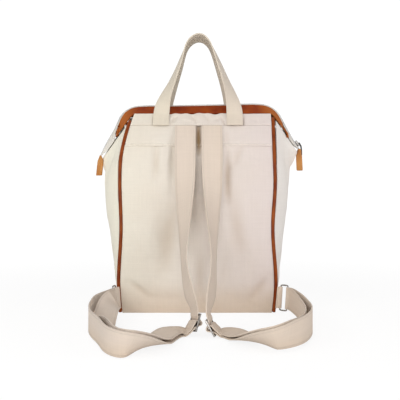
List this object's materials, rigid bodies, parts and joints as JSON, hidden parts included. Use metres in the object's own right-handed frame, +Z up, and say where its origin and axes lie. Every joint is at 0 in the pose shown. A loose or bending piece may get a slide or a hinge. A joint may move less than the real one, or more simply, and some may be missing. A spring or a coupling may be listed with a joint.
{
  "type": "backpack",
  "caption": "Canvas backpack with a zipped frame mouth, leather piping and trims, webbing carry handles and adjustable shoulder straps.",
  "frame": {"origin": "middle of the base's underside, on the floor that the bag stands on", "axes": "+Z up towards the carry handles, +Y towards the bag's front, so the back panel and shoulder straps face -Y, and -X is the wearer's left"},
  "size_m": [0.3887, 0.501, 0.5168],
  "materials": {
    "cream_canvas": "matt cotton canvas",
    "cream_webbing": "matt cotton webbing",
    "tan_leather": "smooth satin leather",
    "cream_tape": "matt woven tape",
    "grey_teeth": "matt coil",
    "nickel": "polished nickel"
  },
  "bodies": {
    "root": {"back_panel": "cream_canvas", "back_yoke": "cream_canvas", "back_hem": "cream_canvas", "front_panel": "cream_canvas", "front_hem": "cream_canvas", "gusset_left": "cream_canvas", "gusset_right": "cream_canvas", "base_panel": "cream_canvas", "piping_back_left": "tan_leather", "piping_back_right": "tan_leather", "piping_front_left": "tan_leather", "piping_front_right": "tan_leather", "mouth_trim_back": "tan_leather", "mouth_trim_front": "tan_leather", "zip_tape_back": "cream_tape", "zip_tape_front": "cream_tape", "zip_teeth": "grey_teeth", "zip_slider": "nickel", "zip_pull": "nickel", "zip_end_tab_left": "tan_leather", "zip_end_tab_right": "tan_leather", "handle_back": "cream_webbing", "handle_front": "cream_webbing", "shoulder_strap_left": "cream_webbing", "shoulder_strap_right": "cream_webbing", "strap_slider_left": "nickel", "strap_slider_right": "nickel", "strap_ring_left": "nickel", "strap_ring_right": "nickel", "strap_tab_left": "cream_webbing", "strap_tab_right": "cream_webbing"}
  },
  "joints": []
}
